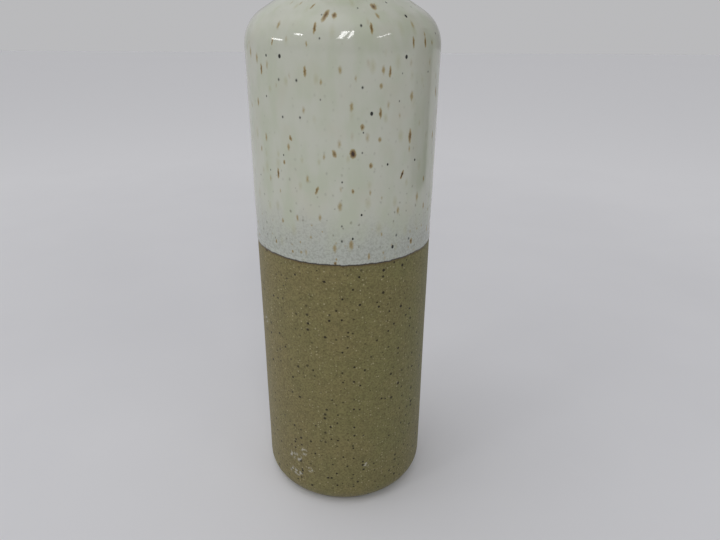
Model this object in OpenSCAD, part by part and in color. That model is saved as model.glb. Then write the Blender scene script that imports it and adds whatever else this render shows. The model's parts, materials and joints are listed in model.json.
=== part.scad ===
// Half-glazed stoneware bottle vase: a bare clay body, the white glaze that covers
// its upper half outside, and the glaze that lines it. Millimetres, +Z up, with the
// origin at the centre of the foot, on the surface that the vase stands on.

/* [Body] */
// Width of the clay cylinder, outside
body_d = 82; // [78:1:100]
// Height at which the wall starts to turn in to the shoulder
shoulder_z = 217.5; // [160:0.5:260]
// Radius of the rounded shoulder
shoulder_round = 16; // [12:0.5:18]
// Rise of the shoulder's straight part above the horizontal, in degrees
shoulder_slope = 32; // [25:1:40]
// Thickness of the clay, the same all over as in cast ware
wall = 4.5; // [3.5:0.1:5.5]

/* [Foot] */
// Radius of the rounded edge of the foot
foot_round = 9.5; // [7:0.5:12]
// Width of the flat ring that the vase stands on
foot_ring_w = 6; // [4:0.5:10]
// Depth of the hollow inside that ring
recess_h = 1.5; // [0.5:0.1:2]

/* [Neck and lip] */
// Inside width of the neck, glazed
mouth_d = 20; // [16:1:22]
// Radius of the curve from the shoulder up into the neck
neck_curve = 12; // [8:1:14]
// Length of the neck's straight part, below the lip
neck_l = 12; // [6:1:30]
// Radius of the rolled lip
lip_round = 3.1; // [2.8:0.1:4]
// Radius of the hollow under the lip
lip_hollow = 3; // [2:0.5:6]

/* [Glaze] */
// Height of the outer glaze's lower edge
glaze_z = 134; // [60:1:145]
// Thickness of both coats of glaze
glaze_t = 0.4; // [0.2:0.05:0.6]
// Thickness of the outer glaze at its lower edge
glaze_edge_t = 0.1; // [0.05:0.05:0.15]
// Height over which the outer glaze thins to that edge
glaze_fade_h = 12; // [4:1:15]

/* [Hidden] */
$fn = 120;
clay_colour = [0.46, 0.42, 0.31];
glaze_colour = [0.86, 0.87, 0.83];
liner_colour = [0.80, 0.81, 0.77];

body_r = body_d / 2;
neck_r = mouth_d / 2 + glaze_t + wall;
recess_r = body_r - foot_round - foot_ring_w;

// The shoulder's arc, its straight slope and the neck's arc are tangent, so the
// two centres lie shoulder_round + neck_curve apart, measured square to the slope.
across = [sin(shoulder_slope), cos(shoulder_slope)];
shoulder_c = [body_r - shoulder_round, shoulder_z];
neck_dx = neck_r + neck_curve - shoulder_c.x;
neck_z = shoulder_z + (shoulder_round + neck_curve - neck_dx * across.x) / across.y;
neck_c = [neck_r + neck_curve, neck_z];

// The lip is a ring tangent to the neck's inside wall, with a hollow under it that
// is tangent to the neck's outside wall and to the ring.
lip_rise = sqrt(pow(lip_hollow + lip_round, 2) - pow(wall + lip_hollow - lip_round, 2));
hollow_c = [neck_r + lip_hollow, neck_z + neck_l];
lip_c = [neck_r - wall + lip_round, hollow_c.y + lip_rise];
top_z = lip_c.y + lip_round + glaze_t;

// Half of a section from the axis out to x = r, between two heights
module slab(r, z_low, z_high) {
    translate([0, z_low]) square([r, z_high - z_low]);
}

// Half section of the whole form up to the lip, with its surface moved out by grow
// (in, where grow is negative)
module form(grow) {
    slope_start = shoulder_c + (shoulder_round + grow) * across;
    slope_end = neck_c - (neck_curve - grow) * across;
    slab(body_r - foot_round, -grow, foot_round);
    translate([body_r - foot_round, foot_round]) circle(foot_round + grow);
    slab(body_r + grow, foot_round, shoulder_z);
    translate(shoulder_c) circle(shoulder_round + grow);
    difference() {
        polygon([[0, shoulder_z], shoulder_c, slope_start, slope_end,
                 neck_c, [neck_r + grow, neck_z], [0, neck_z]]);
        translate(neck_c) circle(neck_curve - grow);
    }
    slab(neck_r + grow, neck_z, lip_c.y);
}

// Half section of the lip and the hollow under it, with its surface moved out by grow
module lip(grow) {
    difference() {
        polygon([[neck_r - wall, hollow_c.y], hollow_c, lip_c, [neck_r - wall, lip_c.y]]);
        translate(hollow_c) circle(lip_hollow - grow);
    }
    translate(lip_c) circle(lip_round + grow);
}

// Half section of the space inside, with the wall's inner surface moved in by grow
module space(grow) {
    form(-wall - grow);
    slab(neck_r - wall - grow, neck_z, top_z);
}

module stoneware_body() {
    color(clay_colour)
    rotate_extrude()
    difference() {
        union() {
            form(0);
            lip(0);
        }
        space(0);
        slab(recess_r, 0, recess_h);
    }
}

// Outer coat: from its thin lower edge up over the shoulder to the crown of the lip
module outer_glaze() {
    fade_z = glaze_z + glaze_fade_h;
    color(glaze_colour)
    rotate_extrude() {
        polygon([[body_r, glaze_z], [body_r + glaze_edge_t, glaze_z],
                 [body_r + glaze_t, fade_z], [body_r, fade_z]]);
        difference() {
            union() {
                form(glaze_t);
                lip(glaze_t);
            }
            form(0);
            lip(0);
            slab(lip_c.x, shoulder_z, top_z);
            slab(body_d, -glaze_t, fade_z);
        }
    }
}

// Inner coat: the whole inside, up to where it meets the outer coat on the lip
module liner_glaze() {
    color(liner_colour)
    rotate_extrude() {
        difference() {
            space(0);
            space(glaze_t);
            slab(body_d, lip_c.y, top_z);
        }
        intersection() {
            difference() {
                translate(lip_c) circle(lip_round + glaze_t);
                translate(lip_c) circle(lip_round);
            }
            slab(lip_c.x, lip_c.y, top_z);
        }
    }
}

stoneware_body();
outer_glaze();
liner_glaze();
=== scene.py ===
"""Half-glazed stoneware bottle vase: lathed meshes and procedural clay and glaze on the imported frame."""
import json
import math

import bmesh
import bpy
import numpy as np
from mathutils import Matrix, Vector, noise


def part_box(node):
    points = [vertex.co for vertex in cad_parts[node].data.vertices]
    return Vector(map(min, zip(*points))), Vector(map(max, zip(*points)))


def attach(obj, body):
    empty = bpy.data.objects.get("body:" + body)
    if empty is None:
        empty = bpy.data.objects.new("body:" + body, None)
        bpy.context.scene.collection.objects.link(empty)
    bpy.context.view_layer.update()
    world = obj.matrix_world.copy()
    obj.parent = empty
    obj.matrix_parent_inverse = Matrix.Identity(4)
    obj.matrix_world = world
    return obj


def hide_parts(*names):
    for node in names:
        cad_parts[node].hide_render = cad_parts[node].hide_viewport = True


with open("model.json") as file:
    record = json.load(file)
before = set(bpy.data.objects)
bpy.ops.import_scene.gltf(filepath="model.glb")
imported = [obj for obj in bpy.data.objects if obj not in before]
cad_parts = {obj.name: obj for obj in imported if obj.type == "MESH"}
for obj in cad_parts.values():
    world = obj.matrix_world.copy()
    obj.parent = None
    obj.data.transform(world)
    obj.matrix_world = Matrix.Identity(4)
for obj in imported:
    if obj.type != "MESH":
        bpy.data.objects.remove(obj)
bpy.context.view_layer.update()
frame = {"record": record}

MM = 0.001

# ---------------------------------------------------------------- sizes from the frame

clay_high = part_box("stoneware_body")[1]
coat_low, coat_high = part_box("outer_glaze")
liner_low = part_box("liner_glaze")[0]
mouth = next(m for m in frame["record"]["mounts"] if m["name"] == "mouth")

body_r = clay_high.y
glaze_t = coat_high.z - clay_high.z
glaze_z = coat_low.z
wall = liner_low.z
neck_r = mouth["dims"]["r_mm"] * MM + glaze_t + wall

# The outline's other sizes, as the CAD part has them
shoulder_z = 217.5 * MM
shoulder_round = 16 * MM
shoulder_slope = math.radians(32)
foot_round = 9.5 * MM
foot_ring_w = 6 * MM
recess_h = 1.5 * MM
neck_curve = 12 * MM
neck_l = 12 * MM
lip_round = 3.1 * MM
lip_hollow = 3 * MM

across = np.array([math.sin(shoulder_slope), math.cos(shoulder_slope)])
shoulder_c = np.array([body_r - shoulder_round, shoulder_z])
neck_dx = neck_r + neck_curve - shoulder_c[0]
neck_z = shoulder_z + (shoulder_round + neck_curve - neck_dx * across[0]) / across[1]
neck_c = np.array([neck_r + neck_curve, neck_z])
hollow_c = np.array([neck_r + lip_hollow, neck_z + neck_l])
lip_dx = wall + lip_hollow - lip_round
lip_rise = math.sqrt((lip_hollow + lip_round) ** 2 - lip_dx ** 2)
lip_c = np.array([neck_r - wall + lip_round, hollow_c[1] + lip_rise])
foot_c = np.array([body_r - foot_round, foot_round])
recess_r = body_r - foot_round - foot_ring_w

# ---------------------------------------------------------------- outlines, as (radius, height)


def arc(centre, radius, start, end, step):
    """Points along an arc. Angles in degrees, from straight out towards straight up."""
    count = max(3, math.ceil(math.radians(abs(end - start)) * radius / step))
    turn = np.radians(np.linspace(start, end, count + 1))
    return centre + radius * np.stack([np.cos(turn), np.sin(turn)], axis=1)


def line(start, end, step):
    start, end = np.array(start, float), np.array(end, float)
    count = max(1, math.ceil(np.linalg.norm(end - start) / step))
    return start + (end - start) * np.linspace(0, 1, count + 1)[:, None]


def joined(*stretches):
    """One outline from stretches that meet end to end."""
    points = np.concatenate(stretches)
    apart = np.linalg.norm(np.diff(points, axis=0), axis=1) > 1e-6
    return points[np.concatenate([[True], apart])]


# The two coats meet on the crown of the lip. Within this turn of it, in degrees, their
# outlines have fine steps, so that no crease shows.
CROWN_TURN = 12
CROWN_STEP = 0.07 * MM


def shoulder_to_lip(step):
    """Outside of the clay from the top of the wall to the crown of the lip."""
    steep = 90 - math.degrees(shoulder_slope)
    slope_end = neck_c - neck_curve * across
    under_lip = math.degrees(math.atan2(lip_rise, -lip_dx))
    return joined(
        arc(shoulder_c, shoulder_round, 0, steep, step),
        line(shoulder_c + shoulder_round * across, slope_end, step),
        arc(neck_c, neck_curve, 180 + steep, 180, step),
        line([neck_r, neck_z], [neck_r, hollow_c[1]], step),
        arc(hollow_c, lip_hollow, 180, under_lip, step / 2),
        arc(lip_c, lip_round, under_lip - 180, 90 - CROWN_TURN, step / 2),
        arc(lip_c, lip_round, 90 - CROWN_TURN, 90, CROWN_STEP),
    )


def crown_to_floor(step):
    """Inside of the clay from the crown of the lip to the middle of the floor."""
    steep = 90 - math.degrees(shoulder_slope)
    inner_shoulder, inner_neck = shoulder_round - wall, neck_curve + wall
    inner_foot = foot_round - wall
    bore_r = neck_r - wall
    return joined(
        arc(lip_c, lip_round, 90, 90 + CROWN_TURN, CROWN_STEP),
        arc(lip_c, lip_round, 90 + CROWN_TURN, 180, step / 2),
        line([bore_r, lip_c[1]], [bore_r, neck_z], step),
        arc(neck_c, inner_neck, 180, 180 + steep, step),
        line(neck_c - inner_neck * across, shoulder_c + inner_shoulder * across, step),
        arc(shoulder_c, inner_shoulder, steep, 0, step),
        line([body_r - wall, shoulder_z], [body_r - wall, foot_round], 4 * step),
        arc(foot_c, inner_foot, 0, -90, step),
        line([foot_c[0], wall], [0, wall], 2 * step),
    )


def run_lengths(points):
    """Distance of each point along its outline."""
    return np.concatenate([[0], np.cumsum(np.linalg.norm(np.diff(points, axis=0), axis=1))])


def outward(points):
    """Unit normals of an outline, on the left of its direction turned to face out of the clay."""
    along = np.gradient(points, run_lengths(points), axis=0)
    along /= np.linalg.norm(along, axis=1)[:, None]
    return np.stack([along[:, 1], -along[:, 0]], axis=1)


# ---------------------------------------------------------------- the hand-made unevenness

# The unevenness fades in over this height and this width, from the foot and the neck
FADE = 12 * MM
FADE_FROM_Z = 1 * MM
FADE_FROM_R = 22 * MM


def smoothstep(x):
    x = min(1.0, max(0.0, x))
    return x * x * (3 - 2 * x)


def wavy(angle, height, scale, seed):
    """Smooth noise from -1 to 1 on the vase's surface, the same all round at the seam."""
    place = Vector((math.cos(angle) * body_r, math.sin(angle) * body_r, height)) / scale
    return noise.noise(place + Vector((seed, 3.7 * seed, 0.0)))


def out_of_round(angle, radius, height):
    """How far the wall swells or sinks from a true circle. The foot and the neck stay true."""
    share = smoothstep((height - FADE_FROM_Z) / FADE) * smoothstep((radius - FADE_FROM_R) / FADE)
    return 0.22 * MM * wavy(angle, height, 60 * MM, 2.0) * share


def edge_drop(angle):
    """Height of the glaze's lower edge over the CAD's: the dip was a little askew, so it is
    lowest at the front and level with the CAD's at the back, with waves and fine crumbs."""
    slow = 0.3 * wavy(angle, 0.0, 26 * MM, 5.0) - 0.6 - 0.6 * math.cos(angle)
    fine = 0.3 * wavy(angle, 0.0, 5 * MM, 9.0) + 0.22 * wavy(angle, 0.0, 1.8 * MM, 4.0)
    return (slow + fine) * MM


# ---------------------------------------------------------------- lathed meshes


def lathe(name, rings, run, height_over_edge, closed, material, flat_after=()):
    """A mesh from rings, an array of (ring, angle, xyz). It ends in two points on the axis,
    or with closed its last ring meets its first. run and height_over_edge become attributes.
    The strips of faces after the rings in flat_after are shaded flat."""
    ring_count, turn_count = rings.shape[:2]
    verts = rings.reshape(-1, 3)
    faces = []
    first, last = (0, ring_count) if closed else (1, ring_count - 2)
    index = np.arange(ring_count * turn_count).reshape(ring_count, turn_count)
    for i in range(first, last):
        here, above = index[i], index[(i + 1) % ring_count]
        faces += [
            (here[j], here[(j + 1) % turn_count], above[(j + 1) % turn_count], above[j])
            for j in range(turn_count)
        ]
    if not closed:
        start, end = index[0][0], index[-1][0]
        low, high = index[1], index[-2]
        faces += [(start, low[(j + 1) % turn_count], low[j]) for j in range(turn_count)]
        faces += [(end, high[j], high[(j + 1) % turn_count]) for j in range(turn_count)]
    mesh = bpy.data.meshes.new(name)
    mesh.from_pydata(verts.tolist(), [], [tuple(int(k) for k in face) for face in faces])
    for label, values in (("run", run), ("over_edge", height_over_edge)):
        attribute = mesh.attributes.new(label, "FLOAT", "POINT")
        attribute.data.foreach_set("value", values.astype(np.float32).ravel())
    piece = bpy.data.objects.new(name, mesh)
    bpy.context.scene.collection.objects.link(piece)
    drop_loose_points(mesh)
    mesh.materials.append(material)
    smooth = np.ones(len(mesh.polygons), bool)
    for ring in flat_after:
        start = (ring - first) * turn_count
        smooth[start:start + turn_count] = False
    mesh.polygons.foreach_set("use_smooth", smooth)
    return piece


def drop_loose_points(mesh):
    """Removes the spare copies of the two points on the axis."""
    work = bmesh.new()
    work.from_mesh(mesh)
    spare = [v for v in work.verts if not v.link_faces]
    bmesh.ops.delete(work, geom=spare, context="VERTS")
    bmesh.ops.recalc_face_normals(work, faces=work.faces)
    work.to_mesh(mesh)
    work.free()


def spin(points, normals, angles, lift):
    """Rings of an outline turned round the axis. lift(ring, angle) moves a point along
    its normal and up: it returns the two distances."""
    rings = np.zeros((len(points), len(angles), 3))
    for i, ((r, z), (nr, nz)) in enumerate(zip(points, normals)):
        for j, angle in enumerate(angles):
            out, up = lift(i, angle)
            radius = r + nr * out
            rings[i, j] = (radius * math.sin(angle), -radius * math.cos(angle), z + nz * out + up)
    return rings


# Faces round each piece
CLAY_TURN, COAT_TURN, LINER_TURN = 240, 320, 160
# Height over the glaze's edge that the inside is given, far from the edge's dark line
FAR_OVER = 1.0


def build_clay(material):
    """The fired clay: one closed skin, out over the foot, up outside, and down inside."""
    angles = np.linspace(0, 2 * math.pi, CLAY_TURN, endpoint=False)
    step = 1.4 * MM
    soft, edge = 0.5 * MM, 0.3 * MM
    under = joined(
        line([0, recess_h], [recess_r - soft, recess_h], 3 * step),
        arc(np.array([recess_r - soft, recess_h - soft]), soft, 90, 0, soft / 2),
        line([recess_r, recess_h - soft], [recess_r, edge], step),
        arc(np.array([recess_r + edge, edge]), edge, 180, 270, soft / 3),
        line([recess_r + edge, 0], [foot_c[0], 0], step),
    )
    outside = joined(
        under,
        arc(foot_c, foot_round, -90, 0, step),
        line([body_r, foot_round], [body_r, shoulder_z], step),
        shoulder_to_lip(step),
    )
    inside = crown_to_floor(2 * step)
    points = joined(outside, inside)
    normals = outward(points)
    length = run_lengths(points)
    foot_point, crown_point = len(under), len(outside)

    def lift(i, angle):
        r, z = points[i]
        if i < foot_point or i >= crown_point:
            return 0.0, 0.0
        return out_of_round(angle, r, z), 0.0

    rings = spin(points, normals, angles, lift)
    run = np.repeat(length[:, None], len(angles), axis=1)
    drops = np.array([edge_drop(a) for a in angles])
    over = rings[:, :, 2] - glaze_z - drops[None, :]
    over[crown_point:] = FAR_OVER
    return lathe("clay_body", rings, run, over, False, material)


def coat_thickness(over):
    """Thickness of the outer coat at a height over its edge: a fine roll, then a slow rise."""
    thin = 0.16 * MM
    roll = thin * math.sqrt(min(1.0, max(0.0, over / (0.35 * MM))))
    bead = 0.05 * MM * math.exp(-((over - 0.9 * MM) / (0.8 * MM)) ** 2)
    return roll + bead + (glaze_t - thin) * smoothstep((over - 2 * MM) / (24 * MM))


def build_coat(material):
    """The outer glaze: a thin closed shell with an uneven lower edge."""
    angles = np.linspace(0, 2 * math.pi, COAT_TURN, endpoint=False)
    roll_top, fine_top = glaze_z + 0.5 * MM, glaze_z + 3 * MM
    settle = 8 * MM
    outer = joined(
        line([body_r, glaze_z], [body_r, roll_top], 0.07 * MM),
        line([body_r, roll_top], [body_r, fine_top], 0.3 * MM),
        line([body_r, fine_top], [body_r, shoulder_z], 1.1 * MM),
        shoulder_to_lip(1.0 * MM),
    )
    inner = joined(
        line([body_r, glaze_z], [body_r, shoulder_z], 6 * MM),
        shoulder_to_lip(2.4 * MM),
    )[::-1]
    points = np.concatenate([outer, inner[:-1]])
    normals = np.concatenate([outward(outer), -outward(inner)[:-1]])
    length = np.concatenate([run_lengths(outer), run_lengths(inner[::-1])[::-1][:-1]])
    skin = len(outer)
    crown = length[skin - 1]

    def lift(i, angle):
        r, z = points[i]
        over = length[i]
        up = edge_drop(angle) * (1 - smoothstep(over / (14 * MM)))
        out = out_of_round(angle, r, z)
        if i < skin:
            lap = 0.035 * MM * wavy(angle, z, 9 * MM, 1.0) + 0.05 * MM * wavy(angle, z, 22 * MM, 6.0)
            inward = smoothstep(over / settle) * smoothstep((crown - over) / settle)
            out += coat_thickness(over) + lap * inward
        return out, up

    rings = spin(points, normals, angles, lift)
    run = np.repeat((length + glaze_z)[:, None], len(angles), axis=1)
    over = np.repeat(length[:, None], len(angles), axis=1)
    return lathe("glaze_coat", rings, run, over, True, material, [skin - 1])


def build_liner(material):
    """The inner glaze: a closed shell from the crown of the lip down over the floor."""
    angles = np.linspace(0, 2 * math.pi, LINER_TURN, endpoint=False)
    skin = crown_to_floor(1.6 * MM)
    back = skin[::-1]
    points = np.concatenate([back, skin])
    normals = np.concatenate([outward(back), outward(skin)])
    length = run_lengths(skin)
    run_both = np.concatenate([length[::-1], length])
    facing = len(back)

    def lift(i, angle):
        return (0.0, 0.0) if i < facing else (glaze_t, 0.0)

    # The ends of both skins lie on the axis and move straight up
    points[:, 0] = np.maximum(points[:, 0], 0)
    normals[[0, -1]] = (0.0, 1.0)
    rings = spin(points, normals, angles, lift)
    run = np.repeat(run_both[:, None], len(angles), axis=1)
    over = np.full(rings.shape[:2], FAR_OVER)
    return lathe("glaze_liner", rings, run, over, False, material, [facing - 1])


# ---------------------------------------------------------------- node helpers


class Shader:
    """Short calls for one material's nodes. An input is a number, a colour or another socket."""

    def __init__(self, name):
        self.material = bpy.data.materials.new(name)
        self.material.use_nodes = True
        self.tree = self.material.node_tree
        self.surface = self.tree.nodes["Principled BSDF"]

    def node(self, kind, inputs=None, **settings):
        made = self.tree.nodes.new("ShaderNode" + kind)
        for key, value in settings.items():
            setattr(made, key, value)
        for key, value in (inputs or {}).items():
            self.plug(made.inputs[key], value)
        return made

    def plug(self, socket, value):
        if isinstance(value, bpy.types.NodeSocket):
            self.tree.links.new(value, socket)
        else:
            socket.default_value = value

    def math(self, operation, a, b=0.0, clamp=False):
        return self.node("Math", {0: a, 1: b}, operation=operation, use_clamp=clamp).outputs[0]

    def vector(self, operation, a, b=(0.0, 0.0, 0.0)):
        return self.node("VectorMath", {0: a, 1: b}, operation=operation).outputs[0]

    def ramp(self, value, low, high, to_low=0.0, to_high=1.0):
        """Smooth step of a value from low to high."""
        inputs = {"Value": value, "From Min": low, "From Max": high, "To Min": to_low, "To Max": to_high}
        return self.node("MapRange", inputs, interpolation_type="SMOOTHSTEP").outputs[0]

    def blend(self, share, a, b):
        made = self.node("Mix", data_type="RGBA")
        self.plug(made.inputs["Factor"], share)
        self.plug(made.inputs[6], a)
        self.plug(made.inputs[7], b)
        return made.outputs[2]

    def noise(self, place, size, detail=2.0, roughness=0.5):
        """Noise of about 0 to 1 whose patches measure about size."""
        inputs = {"Vector": place, "Scale": 1 / size, "Detail": detail, "Roughness": roughness}
        return self.node("TexNoise", inputs).outputs["Fac"]

    def attribute(self, name):
        return self.node("Attribute", attribute_name=name).outputs["Fac"]

    def set(self, **constants):
        for key, value in constants.items():
            self.surface.inputs[key.replace("_", " ")].default_value = value


def colour(red, green, blue):
    """An sRGB colour of 0 to 255 as Blender's linear one."""
    def linear(value):
        value /= 255
        return value / 12.92 if value <= 0.04045 else ((value + 0.055) / 1.055) ** 2.4
    return (linear(red), linear(green), linear(blue), 1.0)


def bump(shader, *layers):
    """Chains bump layers, each (height, distance), and plugs them into the surface."""
    normal = None
    for height, distance in layers:
        inputs = {"Height": height, "Distance": distance, "Strength": 1.0}
        if normal is not None:
            inputs["Normal"] = normal
        normal = shader.node("Bump", inputs).outputs["Normal"]
    shader.plug(shader.surface.inputs["Normal"], normal)


def chart(shader):
    """The surface unrolled: distance round it at the body's radius and distance along its
    outline. Also a mask that is 1 over the part of the front with the listed marks."""
    place = shader.node("TexCoord").outputs["Object"]
    parts = shader.node("SeparateXYZ", {0: place}).outputs
    angle = shader.math("ARCTAN2", parts["X"], shader.math("MULTIPLY", parts["Y"], -1.0))
    round_it = shader.math("MULTIPLY", angle, body_r)
    run = shader.attribute("run")
    flat = shader.node("CombineXYZ", {"X": round_it, "Y": run, "Z": 0.0}).outputs[0]
    turn = math.radians(FRONT_SPAN)
    front = shader.ramp(shader.math("ABSOLUTE", angle), turn + FRONT_SPAN_BLUR, turn)
    below = shader.ramp(run, FRONT_TOP + FRONT_TOP_BLUR, FRONT_TOP)
    return place, flat, shader.math("MULTIPLY", front, below)


# ---------------------------------------------------------------- clay

CLAY = colour(136, 132, 84)
CLAY_WARM = colour(143, 132, 87)
CLAY_DARK = colour(94, 86, 56)
SAND = colour(196, 188, 150)
CLAY_SHADOW = colour(62, 52, 34)
IRON = colour(34, 26, 20)
CHALK = colour(222, 220, 212)
TOAST = colour(92, 66, 42)


def clay_material():
    s = Shader("bare_stoneware")
    place = s.node("TexCoord").outputs["Object"]
    over = s.attribute("over_edge")
    broad = s.ramp(s.noise(place, 22 * MM, 3.0), 0.35, 0.65)
    patchy = s.ramp(s.noise(place, 4 * MM, 3.0), 0.36, 0.66)
    grain = s.noise(place, 0.9 * MM, 4.0, 0.7)
    # The clay is made warmer towards its left side (-x) than towards its right
    warmer_to_left = s.ramp(s.node("SeparateXYZ", {0: place}).outputs[0], body_r, -body_r, -0.1, 0.7)
    warm = s.math("ADD", warmer_to_left, s.math("MULTIPLY", broad, 0.5), clamp=True)
    base = s.blend(warm, CLAY, CLAY_WARM)
    base = s.blend(s.math("MULTIPLY", patchy, 0.2), base, CLAY_DARK)
    base = s.blend(s.ramp(grain, 0.56, 0.4, 0.0, 0.5), base, CLAY_DARK)
    sand, sand_tone = clay_specks(s, place, 1.3 * MM, 0.4, 0.2 * MM, 0.42 * MM, 4.0)
    base = s.blend(s.math("MULTIPLY", sand, s.ramp(sand_tone, 0.0, 1.0, 0.12, 0.62)), base, SAND)
    grit, grit_tone = clay_specks(s, place, 1.5 * MM, 0.4, 0.16 * MM, 0.36 * MM, 2.0)
    base = s.blend(s.math("MULTIPLY", grit, s.ramp(grit_tone, 0.0, 1.0, 0.2, 0.8)), base, CLAY_SHADOW)
    specks, tone = clay_specks(s, place, 2.6 * MM, 0.42, 0.28 * MM, 0.74 * MM, 1.0)
    base = s.blend(s.math("MULTIPLY", specks, s.ramp(tone, 0.0, 0.7, 0.6, 0.97)), base, IRON)

    near_line = s.math("ADD", over, s.math("MULTIPLY", s.noise(place, 1.5 * MM), 1.2 * MM))
    toast = s.ramp(near_line, -0.8 * MM, 0.7 * MM, 0.0, 0.5)
    base = s.blend(toast, base, TOAST)
    base = s.blend(chalk_marks(s, place), base, CHALK)
    s.plug(s.surface.inputs["Base Color"], base)
    s.plug(s.surface.inputs["Roughness"], s.ramp(grain, 0.3, 0.7, 0.9, 0.72))
    s.set(Specular_IOR_Level=0.35, Sheen_Weight=0.12, Sheen_Roughness=0.5)
    pits = s.math("MULTIPLY", specks, -1.0)
    bump(s, (grain, 0.16 * MM), (s.noise(place, 1.6 * MM, 4.0), 0.12 * MM), (pits, 0.05 * MM))
    return s.material


def clay_specks(s, place, cell, share, thin, thick, seed):
    """Specks cut by the surface from grains scattered through the clay, in a share of cells
    of the given size: a mask and a random tone. thin and thick are the grains' radii."""
    moved = s.vector("ADD", place, (seed, seed * 0.7, seed * 0.4))
    cells = s.node("TexVoronoi", {"Vector": moved, "Scale": 1 / cell}, feature="F1").outputs
    chance = s.node("SeparateColor", {0: cells["Color"]}).outputs
    there = s.math("LESS_THAN", chance[0], share)
    sizes = {"Value": chance[1], "To Min": thin / cell, "To Max": thick / cell}
    half = s.node("MapRange", sizes).outputs[0]
    rim = {"Value": cells["Distance"], "From Min": s.math("MULTIPLY", half, 1.25),
           "From Max": s.math("MULTIPLY", half, 0.75)}
    mask = s.node("MapRange", rim).outputs[0]
    return s.math("MULTIPLY", mask, there), chance[2]


# Scuffs: bearing in degrees (0 is the front), height and reach in mm. Like the iron marks,
# they were worked out by a program.
SCUFFS = (
    (-30, 30, 3), (-40, 25, 3), (-35, 25, 3), (-40, 15, 3), (-25, 20, 2), (-35, 15, 3),
    (15, 25, 2), (-65, 95, 3),
)


def chalk_marks(s, place):
    """White scuffs, most of them by the foot: broken patches round a few places."""
    crumbs = s.ramp(s.noise(place, 1.6 * MM, 3.0, 0.6), 0.47, 0.58)
    total = None
    for bearing, height, reach in SCUFFS:
        angle = math.radians(bearing)
        centre = (body_r * math.sin(angle), -body_r * math.cos(angle), height * MM)
        away = s.node("VectorMath", {0: place, 1: centre}, operation="DISTANCE").outputs["Value"]
        near = s.ramp(away, reach * MM, reach * MM * 0.4)
        total = near if total is None else s.math("MAXIMUM", total, near)
    return s.math("MULTIPLY", total, s.math("MULTIPLY", crumbs, 0.6))


# ---------------------------------------------------------------- glaze

GLAZE = colour(207, 209, 195)
GLAZE_GREEN = colour(199, 204, 184)
GLAZE_CREAM = colour(205, 204, 188)
GLAZE_THIN = colour(188, 193, 186)
OCHRE = colour(166, 146, 92)
RUST = colour(122, 94, 50)
RUST_DARK = colour(46, 23, 8)
STRAW = colour(176, 172, 120)
SOOT = colour(20, 18, 15)
EDGE_BROWN = colour(52, 40, 30)

# The iron marks that stand out most on the front, in steps of 5 degrees and 5 mm, in groups
# of one lean to the right, in degrees, and one stretch, length over width. Each has its
# bearing (0 is the front, positive to its right), its distance along the outline and its
# width in mm, and its strength: 0.5 is an ochre blur, 1.5 a burnt core. Most entries of
# this list, of the black specks and of the scuffs are values that a program worked out
# from the photograph, rounded.
IRON_MARKS = (
    (0, 1.5, (
        (5, 180, 3.0, 1.5), (20, 235, 3.5, 1.0), (-5, 230, 2.5, 1.0), (10, 190, 2.0, 0.8),
        (15, 175, 2.0, 0.8), (-35, 175, 1.5, 0.8), (5, 165, 1.5, 0.8), (45, 140, 2.0, 1.0),
        (-45, 140, 1.5, 0.8), (-5, 135, 1.5, 1.0), (20, 205, 2.0, 0.5), (20, 185, 2.0, 0.5),
    )),
    (0, 3.5, (
        (-15, 225, 1.5, 1.0), (15, 225, 1.5, 1.0), (40, 220, 1.5, 0.8), (50, 220, 1.5, 0.8),
        (-40, 220, 1.0, 0.8), (-50, 210, 1.5, 1.0), (-20, 210, 1.5, 0.8), (25, 210, 1.5, 0.8),
        (20, 195, 1.5, 0.8), (40, 185, 2.0, 1.0), (-40, 170, 1.5, 1.0),
    )),
    (20, 3.0, ((-10, 230, 2.5, 1.0), (-20, 235, 1.5, 0.8), (-15, 165, 1.5, 0.8), (35, 170, 1.5, 1.5))),
    (-20, 2.0, ((-5, 180, 2.0, 0.8), (-30, 185, 1.5, 0.8), (20, 230, 2.0, 0.5))),
)

# Round black specks on the front, in the same steps: bearing, distance along the outline
# and width
BLACK_SPECKS = (
    (-35, 215, 1.5), (-45, 215, 1.0), (35, 215, 1.5), (40, 230, 1.5), (15, 195, 1.5),
    (25, 175, 1.0), (45, 175, 1.0), (10, 155, 1.0), (5, 145, 1.0), (30, 140, 1.5),
)

# The scattered marks are this share weaker on the front, where the ones above stand among
# them. The front reaches to this bearing in degrees and this distance along the outline,
# and ends softly, over this turn in radians and this distance.
FRONT_FADE = 0.5
FRONT_SPAN, FRONT_SPAN_BLUR = 64, 0.04
FRONT_TOP, FRONT_TOP_BLUR = 241 * MM, 2 * MM


def add_marks(s, flat, total, lean, stretch, marks):
    """The strongest of the marks so far and of a group of marks, each of which fades to
    nothing at its rim. flat is turned and squashed so that the whole group is round."""
    turn = Matrix.Rotation(math.radians(lean), 2)
    turned = s.node("Mapping", {"Vector": flat, "Rotation": (0.0, 0.0, math.radians(lean))})
    squashed = s.vector("MULTIPLY", turned.outputs[0], (1.0, 1 / stretch, 1.0))
    for bearing, run, width, strength in marks:
        centre = turn @ Vector((math.radians(bearing) * body_r, run * MM))
        away = s.node("VectorMath", {0: squashed, 1: (centre.x, centre.y / stretch, 0.0)},
                      operation="DISTANCE").outputs["Value"]
        slope = -strength / (width / 2 * MM)
        fading = s.node("Math", {0: away, 1: slope, 2: strength}, operation="MULTIPLY_ADD").outputs[0]
        total = s.math("MAXIMUM", total, fading)
    return total


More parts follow.
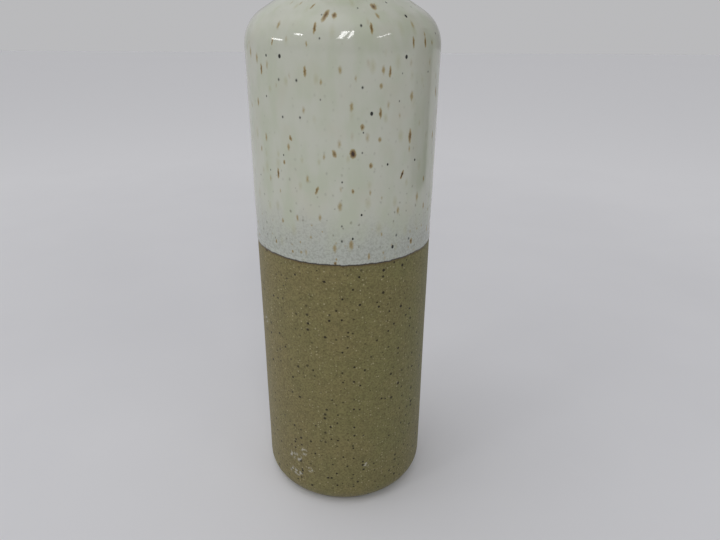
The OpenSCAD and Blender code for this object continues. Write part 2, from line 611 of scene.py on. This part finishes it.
def scattered(s, flat, cell, stretch, share, thin, thick, weak, strong, seed):
    """Marks like the listed ones, in some cells of a stretched grid: their strength, falling
    to 0 at the rim. cell is the spacing, thin and thick the marks' widths."""
    moved = s.vector("ADD", flat, (seed * 0.37, seed * 0.21, 0.0))
    scaled = s.vector("MULTIPLY", moved, (1 / cell, 1 / (cell * stretch), 1.0))
    cells = s.node("TexVoronoi", {"Vector": scaled, "Scale": 1.0, "Randomness": 0.9},
                   voronoi_dimensions="2D", feature="F1").outputs
    chance = s.node("SeparateColor", {0: cells["Color"]}).outputs
    there = s.math("LESS_THAN", chance[0], share)
    sizes = {"Value": chance[1], "To Min": thin / cell / 2, "To Max": thick / cell / 2}
    half = s.node("MapRange", sizes).outputs[0]
    level = s.node("MapRange", {"Value": chance[2], "To Min": weak, "To Max": strong}).outputs[0]
    away = s.math("DIVIDE", cells["Distance"], half)
    inside = s.math("SUBTRACT", 1.0, away, clamp=True)
    return s.math("MULTIPLY", s.math("MULTIPLY", inside, there), level)


def glaze_material():
    s = Shader("white_glaze")
    place, flat, front = chart(s)
    over = s.attribute("over_edge")
    strength = s.math("SUBTRACT", 1.0, s.math("MULTIPLY", front, FRONT_FADE))
    noise_inputs = {"Vector": place, "Scale": 1 / (1.1 * MM), "Detail": 2.0}
    ragged = s.node("TexNoise", noise_inputs).outputs["Color"]
    centred = s.vector("SUBTRACT", ragged, (0.5, 0.5, 0.5))
    shake = s.node("VectorMath", {0: centred, "Scale": 0.9 * MM}, operation="SCALE").outputs[0]
    ragged_flat = s.vector("ADD", flat, shake)

    streaky = s.noise(s.vector("MULTIPLY", place, (1.0, 1.0, 0.45)), 8 * MM, 4.0)
    base = s.blend(s.ramp(streaky, 0.35, 0.68), GLAZE, GLAZE_GREEN)
    cloudy = s.noise(s.vector("ADD", place, (0.2, 0.4, 0.1)), 15 * MM, 3.0, 0.6)
    base = s.blend(s.ramp(cloudy, 0.5, 0.7, 0.0, 0.5), base, GLAZE_CREAM)
    thin_from = s.math("MULTIPLY", s.math("SUBTRACT", streaky, 0.5), 22 * MM)
    thin = s.ramp(s.math("ADD", over, thin_from), 24 * MM, 2 * MM)
    base = s.blend(s.math("MULTIPLY", thin, 0.75), base, GLAZE_THIN)
    mottle = s.ramp(s.noise(place, 1.0 * MM, 3.0, 0.65), 0.56, 0.4)
    base = s.blend(s.math("MULTIPLY", s.math("MULTIPLY", mottle, thin), 0.24), base, CLAY_DARK)

    straw = scattered(s, ragged_flat, 6.5 * MM, 2.0, 0.5, 1.6 * MM, 3.6 * MM, 0.3, 0.8, 3.0)
    base = s.blend(s.math("MULTIPLY", straw, 0.55), base, STRAW)
    grey = scattered(s, ragged_flat, 3.2 * MM, 1.3, 0.34, 0.7 * MM, 1.5 * MM, 0.25, 0.9, 7.0)
    low_down = s.ramp(over, 60 * MM, 3 * MM, 0.18, 0.9)
    base = s.blend(s.math("MULTIPLY", grey, low_down), base, CLAY_DARK)

    smears = scattered(s, ragged_flat, 6.2 * MM, 2.3, 0.6, 1.0 * MM, 2.6 * MM, 0.3, 1.05, 1.0)
    low_spots = scattered(s, ragged_flat, 5 * MM, 1.3, 0.5, 0.8 * MM, 1.8 * MM, 0.3, 0.7, 11.0)
    iron = s.math("MAXIMUM", s.math("MULTIPLY", smears, strength), s.math("MULTIPLY", low_spots, thin))
    for group in IRON_MARKS:
        iron = add_marks(s, ragged_flat, iron, *group)
    base = s.blend(s.ramp(iron, 0.0, 0.35, 0.0, 0.8), base, OCHRE)
    base = s.blend(s.ramp(iron, 0.25, 0.75, 0.0, 0.9), base, RUST)
    base = s.blend(s.ramp(iron, 0.65, 1.1, 0.0, 0.95), base, RUST_DARK)

    specks = scattered(s, flat, 8 * MM, 1.3, 0.22, 0.9 * MM, 1.5 * MM, 0.6, 1.0, 5.0)
    soot = s.math("MULTIPLY", specks, strength)
    soot = add_marks(s, flat, soot, 0, 1.3, [(*speck, 1.0) for speck in BLACK_SPECKS])
    base = s.blend(s.ramp(soot, 0.0, 0.4, 0.0, 0.96), base, SOOT)

    edge = s.math("ADD", over, s.math("MULTIPLY", s.noise(place, 0.7 * MM), -0.6 * MM))
    base = s.blend(s.ramp(edge, 0.5 * MM, 0.1 * MM, 0.0, 0.95), base, EDGE_BROWN)
    s.plug(s.surface.inputs["Base Color"], base)
    s.plug(s.surface.inputs["Roughness"], s.ramp(over, 7 * MM, 1 * MM, 0.07, 0.3))
    s.set(Specular_IOR_Level=0.5)
    orange_peel = s.noise(place, 3.5 * MM, 2.0)
    bump(s, (orange_peel, 0.02 * MM), (s.noise(place, 14 * MM, 1.0), 0.1 * MM))
    return s.material


def liner_material():
    s = Shader("liner_glaze")
    place = s.node("TexCoord").outputs["Object"]
    base = s.blend(s.ramp(s.noise(place, 8 * MM, 3.0), 0.35, 0.65), GLAZE, GLAZE_GREEN)
    specks, tone = clay_specks(s, place, 3.4 * MM, 0.4, 0.14 * MM, 0.34 * MM, 3.0)
    base = s.blend(s.math("MULTIPLY", specks, s.ramp(tone, 0.0, 1.0, 0.3, 0.9)), base, RUST_DARK)
    s.plug(s.surface.inputs["Base Color"], base)
    s.plug(s.surface.inputs["Roughness"], s.ramp(s.noise(place, 5 * MM), 0.3, 0.7, 0.1, 0.18))
    s.set(Specular_IOR_Level=0.5, Coat_Weight=0.4, Coat_Roughness=0.05)
    bump(s, (s.noise(place, 6 * MM), 0.04 * MM))
    return s.material


# ---------------------------------------------------------------- camera, floor and light


# The camera's distance and height in body radii, its turns in degrees and its lens in mm
CAMERA_DISTANCE, CAMERA_HEIGHT = 6.49, 5.58
CAMERA_PITCH, CAMERA_YAW, CAMERA_ROLL = -23.5, -1.7, 0.44
CAMERA_LENS, CAMERA_SENSOR = 29.15, 36


def place_camera():
    """A wide lens close to the vase, level with its shoulder and tilted down to its foot."""
    distance, height = CAMERA_DISTANCE * body_r, CAMERA_HEIGHT * body_r
    pitch, yaw, roll = (math.radians(a) for a in (CAMERA_PITCH, CAMERA_YAW, CAMERA_ROLL))
    data = bpy.data.cameras.new("camera")
    data.sensor_width = CAMERA_SENSOR
    data.lens = CAMERA_LENS
    data.clip_start = 0.01
    camera = bpy.data.objects.new("camera", data)
    bpy.context.scene.collection.objects.link(camera)
    turn = Matrix.Rotation(yaw, 4, "Z") @ Matrix.Rotation(math.radians(90) + pitch, 4, "X")
    turn = turn @ Matrix.Rotation(roll, 4, "Z")
    camera.matrix_world = Matrix.Translation((0, -distance, height)) @ turn
    bpy.context.scene.camera = camera


FLOOR_HALF = 4.0
# Painted light on the floor: painted shade by the vase, painted light farther off
FLOOR_SHADED_NEAR = colour(230, 230, 233)
FLOOR_LIT_FAR = colour(251, 251, 253)


def build_floor():
    """A pale board with painted light: darker near the vase and paler away from it, so that it runs into
    the backdrop.
    """
    mesh = bpy.data.meshes.new("floor")
    corners = [(x * FLOOR_HALF, y * FLOOR_HALF, 0) for x, y in ((-1, -1), (1, -1), (1, 1), (-1, 1))]
    mesh.from_pydata(corners, [], [(0, 1, 2, 3)])
    floor = bpy.data.objects.new("floor", mesh)
    bpy.context.scene.collection.objects.link(floor)
    s = Shader("pale_board")
    place = s.node("TexCoord").outputs["Object"]
    away = s.node("VectorMath", {0: place}, operation="LENGTH").outputs["Value"]
    uneven = s.ramp(s.noise(place, 0.12, 3.0), 0.3, 0.7, 0.0, 0.1)
    # Painted light falloff: darker near the vase, paler away from it, with a little random tone
    shade = s.math("ADD", s.ramp(away, 0.1, 0.9), uneven, clamp=True)
    s.plug(s.surface.inputs["Base Color"], s.blend(shade, FLOOR_SHADED_NEAR, FLOOR_LIT_FAR))
    s.set(Roughness=0.8, Specular_IOR_Level=0.0)
    mesh.materials.append(s.material)


# Bright panels that the shoulder mirrors: bearing, elevation, width, height and tilt in
# degrees as seen from the vase, and level (1 is white)
PANELS = (
    (0, 35, 5, 20, 20, 10),
    (10, 35, 3, 20, 20, 10),
    (-55, 30, 10, 4, 10, 10),
    (-80, 15, 15, 2, 0, 10),
    (50, 30, 20, 2, -20, 7),
)
PANEL_DISTANCE = 1.2
PANEL_WATTS = 4

# Bearing of the black card, and its distance, half width and height in metres
CARD_BEARING, CARD_DISTANCE, CARD_HALF, CARD_HEIGHT = 104, 0.6, 0.19, 0.5

# The sky is one patch overhead and three bands of patches, each with its height and the
# bearing where it is brightest, in degrees. Round a band the level swings about its mean.
# A patch is full inside its core and fades out at its reach, both in degrees.
OVERHEAD = 0.3
SKY_BANDS = ((65, -30), (40, 210), (5, 210))
SKY_MEAN, SKY_SWING = 0.15, 0.25
OVERHEAD_REACH, PATCH_REACH, PATCH_CORE = 45, 36, 5
PATCHES_ROUND = 8
SKY_COLOUR = (0.98, 0.98, 1.0, 1.0)
# Level of the plain backdrop that the camera sees in place of the patches
HORIZON = 0.50


def towards(bearing, elevation):
    """Unit vector from the vase, for a bearing to the right of the front and a height angle."""
    turn, rise = math.radians(bearing), math.radians(elevation)
    level = math.cos(rise)
    return Vector((math.sin(turn) * level, -math.cos(turn) * level, math.sin(rise)))


def build_panels():
    """Area lights that face the middle of the shoulder."""
    for index, (bearing, elevation, width, height, tilt, level) in enumerate(PANELS):
        data = bpy.data.lights.new(f"panel_{index}", "AREA")
        data.shape = "RECTANGLE"
        data.size = PANEL_DISTANCE * math.radians(width)
        data.size_y = PANEL_DISTANCE * math.radians(height)
        data.energy = PANEL_WATTS * data.size * data.size_y * level
        light = bpy.data.objects.new(f"panel_{index}", data)
        bpy.context.scene.collection.objects.link(light)
        way = towards(bearing, elevation)
        light.location = Vector((0, 0, shoulder_z)) + way * PANEL_DISTANCE
        facing = way.to_track_quat("Z", "Y").to_matrix().to_4x4()
        light.rotation_euler = (facing @ Matrix.Rotation(math.radians(-tilt), 4, "Z")).to_euler()


def build_dark_card():
    """A black card on the vase's right. Only its reflection in the glaze is seen."""
    mesh = bpy.data.meshes.new("dark_card")
    corners = [(x * CARD_HALF, 0, z * CARD_HEIGHT) for x, z in ((-1, 0), (1, 0), (1, 1), (-1, 1))]
    mesh.from_pydata(corners, [], [(0, 1, 2, 3)])
    card = bpy.data.objects.new("dark_card", mesh)
    bpy.context.scene.collection.objects.link(card)
    card.location = towards(CARD_BEARING, 0) * CARD_DISTANCE
    card.rotation_euler.z = math.radians(CARD_BEARING)
    s = Shader("black_card")
    s.set(Base_Color=(0.01, 0.01, 0.01, 1.0), Roughness=0.9)
    mesh.materials.append(s.material)
    card.visible_camera = False
    card.visible_diffuse = False
    card.visible_shadow = False


def build_world():
    """A pale room, dim on the vase's right. The camera itself sees an even pale backdrop."""
    world = bpy.data.worlds.new("studio")
    world.use_nodes = True
    tree = world.node_tree
    bpy.context.scene.world = world
    background = tree.nodes["Background"]
    background.inputs["Color"].default_value = SKY_COLOUR
    direction = tree.nodes.new("ShaderNodeTexCoord").outputs["Generated"]
    patches = [(0, 90, OVERHEAD_REACH, OVERHEAD)]
    for elevation, brightest in SKY_BANDS:
        for step in range(PATCHES_ROUND):
            bearing = 360 / PATCHES_ROUND * step
            level = SKY_MEAN + SKY_SWING * math.cos(math.radians(bearing - brightest))
            if level > 0:
                patches.append((bearing, elevation, PATCH_REACH, level))
    total = None
    for bearing, elevation, reach, level in patches:
        along = tree.nodes.new("ShaderNodeVectorMath")
        along.operation = "DOT_PRODUCT"
        tree.links.new(direction, along.inputs[0])
        along.inputs[1].default_value = towards(bearing, elevation)
        patch = tree.nodes.new("ShaderNodeMapRange")
        patch.interpolation_type = "SMOOTHSTEP"
        tree.links.new(along.outputs["Value"], patch.inputs["Value"])
        patch.inputs["From Min"].default_value = math.cos(math.radians(reach))
        patch.inputs["From Max"].default_value = math.cos(math.radians(PATCH_CORE))
        patch.inputs["To Max"].default_value = level
        if total is None:
            total = patch.outputs[0]
        else:
            added = tree.nodes.new("ShaderNodeMath")
            tree.links.new(total, added.inputs[0])
            tree.links.new(patch.outputs[0], added.inputs[1])
            total = added.outputs[0]
    for_camera = tree.nodes.new("ShaderNodeMix")
    path = tree.nodes.new("ShaderNodeLightPath")
    tree.links.new(path.outputs["Is Camera Ray"], for_camera.inputs["Factor"])
    tree.links.new(total, for_camera.inputs["A"])
    for_camera.inputs["B"].default_value = HORIZON
    tree.links.new(for_camera.outputs["Result"], background.inputs["Strength"])
    bpy.context.scene.view_settings.view_transform = "Standard"


# ---------------------------------------------------------------- the scene

place_camera()
build_floor()
build_panels()
build_dark_card()
build_world()

for build, material, slot_name, node in (
    (build_clay, clay_material, "bare_stoneware", "stoneware_body"),
    (build_coat, glaze_material, "white_glaze", "outer_glaze"),
    (build_liner, liner_material, "liner_glaze", "liner_glaze"),
):
    piece = build(material())
    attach(piece, "root")
    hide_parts(node)
